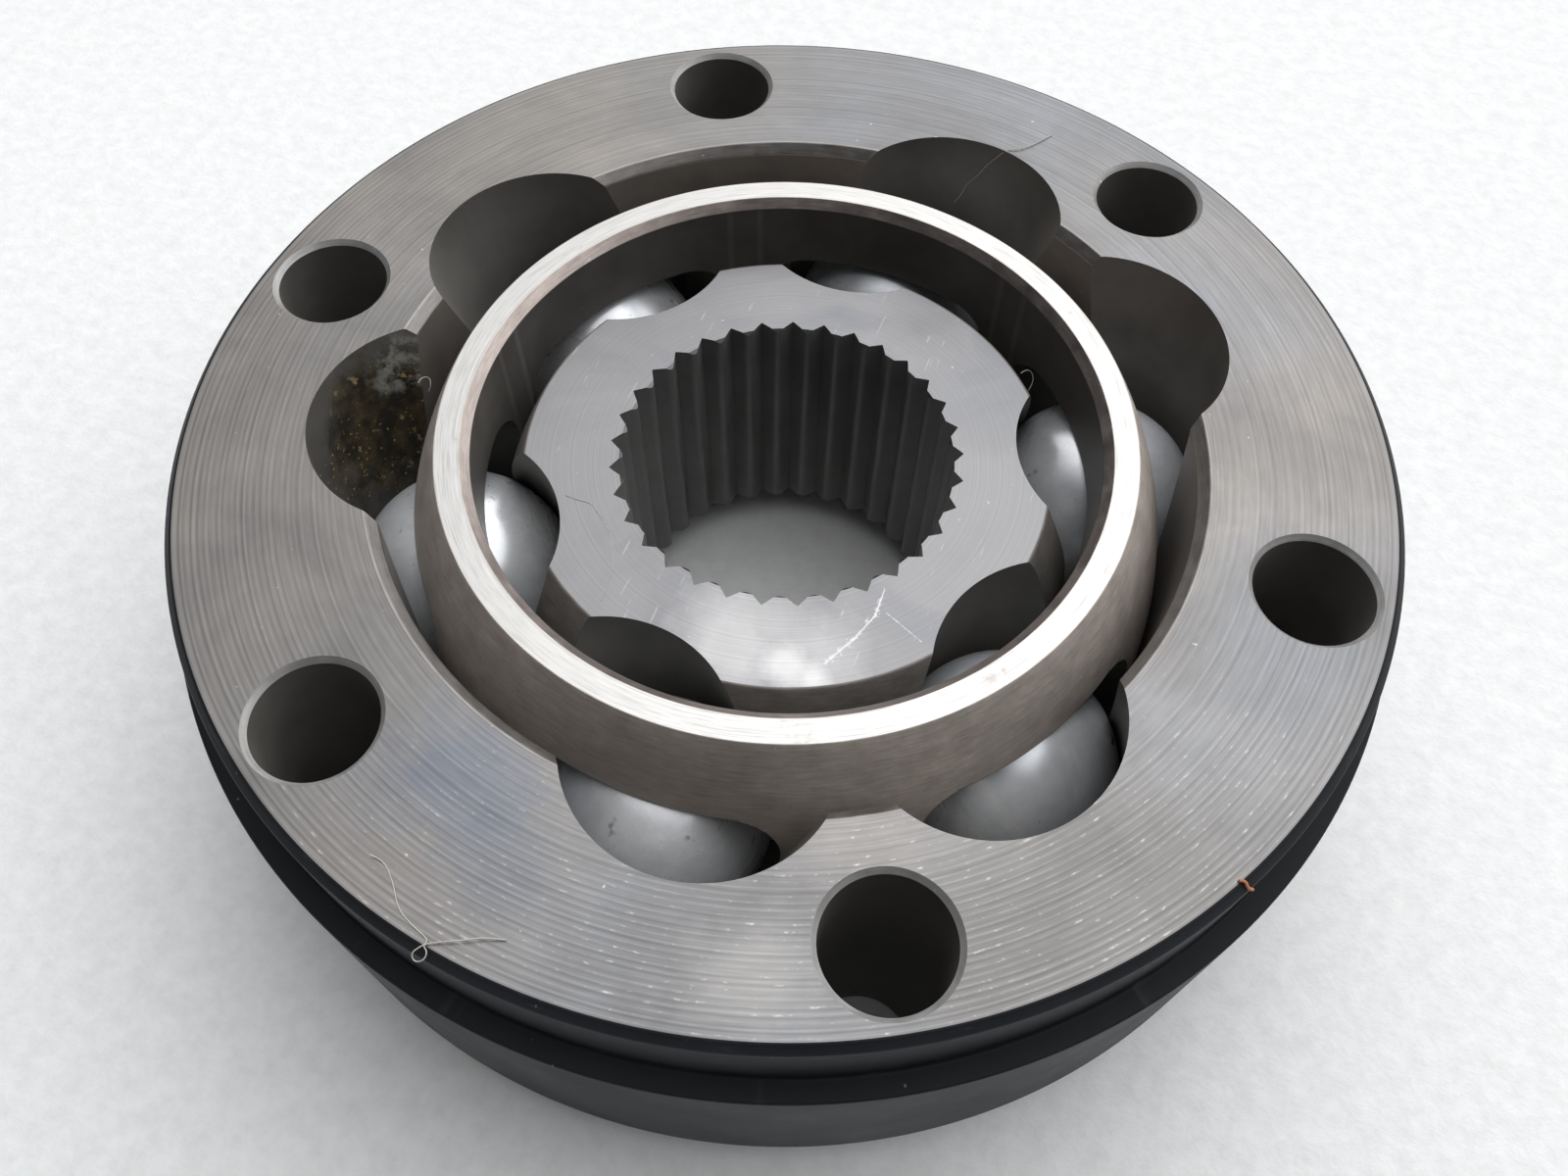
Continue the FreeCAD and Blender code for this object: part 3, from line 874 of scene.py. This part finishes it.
class JOINT_OT_inner_race(Operator):
    """Turns the inner race and cuts its toothed bore and crossed tracks"""
    bl_idname = "joint.inner_race"
    bl_label = "Inner race"

    def execute(self, context):
        z, f = context.scene.joint_sizes, context.scene.joint_finishes
        low, high = HUB_LOW.z, HUB_HIGH.z
        inside = z.spline_root - 1.5 * z.spline_depth
        profile = [(inside, low), *belt(z.hub_radius, low, high, HUB_BELT_STEPS),
                   (inside, high)]
        blank = lathe("inner_race_hub", softened(profile, z.hub_edge), z.around,
                      [ground_steel("hub land steel", f.land)])
        # The pale patches along the front edge of the hub face are a rubbed patch, lightened
        # further as a painted highlight; the three darker ones lie at the back, next to the cage
        # wall.
        face = satin_steel("hub face steel", f.hub, high / MM, (
            (15.0, 14.5, 5.0, (0.18, 0.183, 0.192)), (7.0, 20.5, 3.4, (0.185, 0.185, 0.193)),
            (-17.0, 12.0, 5.0, (0.193, 0.193, 0.20)), (3.0, -20.5, 4.5, (0.33, 0.326, 0.33)),
            (11.0, -18.5, 3.0, (0.30, 0.30, 0.307)), (7.8, -20.6, 1.5, (0.42, 0.418, 0.42)),
            (10.4, -20.8, 1.2, (0.42, 0.418, 0.42))), (
            ((13.2, -10.6), (13.3, -13.3), 0.16), ((13.3, -13.3), (12.4, -16.1), 0.20),
            ((12.4, -16.1), (10.9, -19.2), 0.24), ((14.1, -12.7), (17.8, -14.3), 0.05)))
        track = track_steel("inner track steel", times(f.track, 1.3))
        values = {**track_values(z, track, face), "Teeth": z.spline_teeth,
                  "Root radius": z.spline_root, "Tooth depth": z.spline_depth,
                  "Flank depth": z.spline_flank, "Lead-in": z.spline_lead, "Width": high - low,
                  "Spline finish": track_steel("spline steel", f.spline, 0.36),
                  "Edge finish": ground_steel("lead-in steel", f.hub, 0.34, 1.0)}
        grown(blank, inner_race_tree(values), values)
        smooth(blank, z.edge_round * 0.6, 34.0)
        fitted(blank, "inner_race")
        return {"FINISHED"}


class JOINT_OT_balls(Operator):
    """Places the six polished balls, each on its own body"""
    bl_idname = "joint.balls"
    bl_label = "Balls"

    def execute(self, context):
        z, f = context.scene.joint_sizes, context.scene.joint_finishes
        rows = [{"Ball radius": z.ball_radius, "Pitch radius": z.pitch_radius,
                 "Place": ball_way(k),
                 "Finish": ball_steel("polished steel %d" % (k + 1), f.ball, 0.31 * k + 0.2)}
                for k in range(BALLS)]
        tree = ball_tree(rows[0])
        for k, values in enumerate(rows):
            node = "ball_%d" % (k + 1)
            piece = linked("polished_" + node, bpy.data.meshes.new("polished_" + node))
            grown(piece, tree, values)
            piece.data.shade_smooth()
            fitted(piece, node)
        return {"FINISHED"}


# Lint on the outer race's face and in its tracks, and a dry line on the inner race: millimetres.
FIBRES = {
    "hooked_lint": ("outer_race", "lint", 1.0, (
        (-13.6, -48.6, 37.3), (-12.6, -48.5, 37.1), (-11.1, -49.7, 37.1), (-9.8, -51.3, 37.1),
        (-8.2, -52.0, 37.1), (-6.8, -52.4, 37.2), (-6.6, -52.7, 37.2), (-7.0, -53.2, 37.2),
        (-7.4, -53.7, 36.9), (-7.0, -54.1, 36.5), (-6.3, -53.8, 36.9), (-6.3, -53.2, 37.1),
        (-6.9, -52.9, 37.2), (-5.7, -52.3, 37.3), (-4.2, -51.6, 37.4), (-3.0, -50.9, 37.4),
        (-1.6, -50.5, 37.2))),
    "track_lint": ("outer_race", "lint", 0.9, (
        (11.9, 46.3, 37.1), (10.9, 44.6, 37.1), (9.6, 42.9, 37.15), (8.1, 42.2, 37.1),
        (7.2, 42.0, 35.9), (6.5, 42.1, 34.9), (5.6, 42.1, 33.0), (4.5, 42.3, 31.4),
        (4.2, 42.2, 29.9), (3.5, 42.3, 28.5))),
    "rim_fleck": ("outer_race", "fleck", 2.6, (
        (45.7, -27.2, 37.15), (46.1, -27.0, 37.2), (46.5, -27.5, 36.9), (46.9, -27.2, 36.5))),
    "curled_lint": ("outer_race", "lint", 0.8, (
        (-35.3, -4.6, 31.0), (-34.9, -5.4, 31.6), (-34.6, -4.9, 32.3), (-35.1, -4.2, 32.6),
        (-35.5, -4.9, 33.1), (-35.2, -5.8, 33.4))),
    "short_lint": ("outer_race", "lint", 0.7, (
        (-40.2, -10.6, 27.6), (-39.8, -9.4, 27.9), (-39.3, -8.6, 28.4), (-38.7, -7.2, 28.6))),
    "dry_line": ("inner_race", "lint", 0.55, (
        (-16.9, -11.8, 32.53), (-15.6, -11.9, 32.53), (-14.4, -11.7, 32.53),
        (-13.4, -12.4, 32.53), (-12.4, -13.1, 32.53), (-11.3, -14.1, 32.53),
        (-10.6, -15.2, 32.53), (-9.8, -16.6, 32.53), (-9.4, -18.0, 32.53),
        (-9.4, -19.0, 32.53), (-9.0, -19.7, 32.53), (-9.1, -20.6, 32.53))),
    "corner_lint": ("inner_race", "lint", 0.6, (
        (18.6, 17.0, 30.8), (18.9, 17.6, 31.6), (18.5, 18.2, 32.2), (17.9, 18.0, 32.8),
        (17.5, 17.3, 32.7))),
}


def crumb_tree(values):
    """Small uneven crumbs of mixed sizes, strewn evenly over a patch of wall."""
    t = Tree("dry_crumbs", values)
    given = t.given
    spots = t.add("GeometryNodeDistributePointsOnFaces", {
        "Mesh": given["Geometry"], "Density": given["Density"], "Seed": given["Seed"]})
    stone = t.add("GeometryNodeMeshIcoSphere", {"Radius": 1.0, "Subdivisions": 1})
    rough = t.add("FunctionNodeRandomValue", {"Min": (-0.35,) * 3, "Max": (0.35,) * 3},
                  data_type="FLOAT_VECTOR")
    broken = t.add("GeometryNodeSetPosition", {"Geometry": stone, "Offset": rough})
    draw = t.add("FunctionNodeRandomValue", data_type="FLOAT")
    for name, limit in (("Min", 0.25), ("Max", 1.0)):
        t.feed(next(i for i in draw.inputs if i.name == name and i.enabled), limit)
    girth = t.mul(t.math("POWER", draw, 2.5), given["Crumb size"])
    laid = t.add("GeometryNodeInstanceOnPoints", {
        "Points": spots.outputs["Points"], "Instance": broken,
        "Rotation": spots.outputs["Rotation"], "Scale": t.xyz(girth, girth, t.mul(girth, 0.5))})
    return t.close(laid, given["Finish"])


class JOINT_OT_dirt(Operator):
    """Lays the lint fibres and strews dry crumbs in one track of the outer race"""
    bl_idname = "joint.dirt"
    bl_label = "Lint and crumbs"

    def execute(self, context):
        z, f = context.scene.joint_sizes, context.scene.joint_finishes
        finishes = {"lint": plain_dirt("pale lint", f.lint),
                    "fleck": plain_dirt("rust fleck", f.fleck)}
        for name, (node, tone, girth, route) in FIBRES.items():
            line = bpy.data.curves.new(name, "CURVE")
            line.dimensions, line.bevel_depth = "3D", z.lint_radius * girth
            line.bevel_resolution, line.use_fill_caps = 1, True
            spline = line.splines.new("NURBS")
            spline.points.add(len(route) - 1)
            for point, place in zip(spline.points, route):
                point.co = (*(c * MM for c in place), 1.0)
            spline.order_u, spline.use_endpoint_u, spline.resolution_u = 3, True, 5
            curve = linked(name, line)
            mesh = plain_mesh(curve)
            bpy.data.objects.remove(curve)
            mesh.shade_smooth()
            mesh.materials.clear()
            mesh.materials.append(finishes[tone])
            carried(linked(name, mesh), node)
        patch = self.wall(z)
        values = {"Crumb size": z.crumb_size, "Density": CRUMBS, "Seed": 7,
                  "Finish": plain_dirt("dry crumb", f.grime)}
        grown(patch, crumb_tree(values), values)
        carried(patch, "outer_race")
        return {"FINISHED"}

    def wall(self, z):
        """Patch of the track wall that the crumbs lie on, from the track's own sizes."""
        turn, steps = ball_way(3), 12
        first, sweep = -78.0, 96.0              # degrees around the track
        low, tall = 2.0, 12.5                   # millimetres along it, from the middle
        out = Vector((math.cos(turn), math.sin(turn), 0))
        way = Vector((-math.sin(turn), math.cos(turn), 0))
        axis = Vector((0, 0, math.cos(z.track_skew))) - way * math.sin(z.track_skew)
        side = axis.cross(out)
        centre = out * z.pitch_radius + Vector((0, 0, MIDDLE))
        reach = z.ball_radius + z.track_gap
        verts, faces = [], []
        for i in range(steps + 1):
            lean = math.radians(first + sweep * i / steps)
            for k in range(steps + 1):
                along = (low + tall * k / steps) * MM
                verts.append(centre + axis * along + (out * math.cos(lean)
                                                      + side * math.sin(lean)) * reach)
        for i in range(steps):
            for k in range(steps):
                a = i * (steps + 1) + k
                faces.append((a, a + 1, a + steps + 2, a + steps + 1))
        mesh = bpy.data.meshes.new("dry_crumbs")
        mesh.from_pydata(verts, [], faces)
        return linked("dry_crumbs", mesh)


class JOINT_OT_stage(Operator):
    """Lays the pale floor and sets the soft lamp and the camera"""
    bl_idname = "joint.stage"
    bl_label = "Stage"

    def execute(self, context):
        scene, settings = context.scene, context.scene.joint_stage
        self.floor(settings)
        self.lamp(settings)
        self.dome(scene, settings)
        scene.view_settings.view_transform = "Standard"
        scene.camera = self.camera(settings)
        return {"FINISHED"}

    def dome(self, scene, settings):
        """Pale overhead and behind, dimmer low down and in front, as in a room with one window."""
        world = scene.world or bpy.data.worlds.new("studio")
        scene.world = world
        world.use_nodes = True
        n = Nodes(world.node_tree)
        n.tree.nodes.clear()
        way = n.add("ShaderNodeTexCoord").outputs["Generated"]
        share = n.band(n.vector("DOT_PRODUCT", way, (0.17, 0.61, 0.775)), 0.32, 0.87,
                       interpolation_type="SMOOTHSTEP")
        tone = n.mix(share, settings.air, tuple(c * settings.dome for c in settings.sky))
        light = n.add("ShaderNodeBackground", {"Color": tone, "Strength": 1.0})
        n.add("ShaderNodeOutputWorld", {"Surface": light})

    def floor(self, settings):
        """A pale, faintly mottled sheet of six metres a side."""
        half = 3.0
        mesh = bpy.data.meshes.new("pale_floor")
        mesh.from_pydata([(-half, -half, 0), (half, -half, 0), (half, half, 0), (-half, half, 0)],
                         [], [(0, 1, 2, 3)])
        floor = linked("pale_floor", mesh)
        s = Shader("pale floor", settings.floor)
        felt = s.noise(420.0, 4.0, 0.7)
        tone = s.laid(times(settings.floor, 0.93), times(settings.floor, 1.05), felt, 0.3, 0.7)
        mesh.materials.append(s.finish(tone, 0.95, s.bump(felt, 0.12 * MM), 0.0))

    def lamp(self, settings):
        """One soft square lamp high up behind, aimed at the joint's middle."""
        light = bpy.data.lights.new("soft lamp", "AREA")
        light.shape, light.size, light.energy = "SQUARE", settings.key_width, settings.key_power
        lamp = linked("soft lamp", light)
        lamp.location = (0.0, 0.36, 0.64)
        aim = Vector((0.0, 0.0, MIDDLE)) - lamp.location
        lamp.rotation_mode = "QUATERNION"
        lamp.rotation_quaternion = aim.to_track_quat("-Z", "Y")

    def camera(self, settings):
        """Looks down on the open top face from close in front."""
        lens = bpy.data.cameras.new("camera")
        lens.sensor_width, lens.lens = 36.0, settings.lens
        lens.clip_start, lens.clip_end = 0.005, 20.0
        camera = linked("camera", lens)
        top = RING_HIGH.z
        place = Vector((24.92 * MM, -67.29 * MM, top + 89.53 * MM))
        target = Vector((6.0 * MM, -16.2 * MM, top))
        aim = (target - place).to_track_quat("-Z", "Y")
        roll = Matrix.Rotation(math.radians(1.20), 4, "Z")
        camera.matrix_world = Matrix.Translation(place) @ aim.to_matrix().to_4x4() @ roll
        return camera


STEPS = (JOINT_OT_outer_race, JOINT_OT_cage, JOINT_OT_inner_race, JOINT_OT_balls, JOINT_OT_dirt,
         JOINT_OT_stage)


class JOINT_PT_panel(Panel):
    """Lists the joint's pieces, sizes and finishes"""
    bl_idname = "JOINT_PT_panel"
    bl_label = "Crossed-track joint"
    bl_space_type = "VIEW_3D"
    bl_region_type = "UI"
    bl_category = "Joint"

    def draw(self, context):
        for step in STEPS:
            self.layout.operator(step.bl_idname)
        for name in ("joint_sizes", "joint_finishes", "joint_stage"):
            box = self.layout.box()
            group = getattr(context.scene, name)
            for key in group.__annotations__:
                box.prop(group, key)


CLASSES = (JointSizes, JointFinishes, StageSettings, *STEPS, JOINT_PT_panel)


def register():
    for cls in CLASSES:
        bpy.utils.register_class(cls)
    bpy.types.Scene.joint_sizes = PointerProperty(type=JointSizes)
    bpy.types.Scene.joint_finishes = PointerProperty(type=JointFinishes)
    bpy.types.Scene.joint_stage = PointerProperty(type=StageSettings)


def unregister():
    for name in ("joint_sizes", "joint_finishes", "joint_stage"):
        delattr(bpy.types.Scene, name)
    for cls in reversed(CLASSES):
        bpy.utils.unregister_class(cls)


def main():
    register()
    bpy.ops.joint.outer_race()
    bpy.ops.joint.cage()
    bpy.ops.joint.inner_race()
    bpy.ops.joint.balls()
    bpy.ops.joint.dirt()
    bpy.ops.joint.stage()


if __name__ == "__main__":
    main()
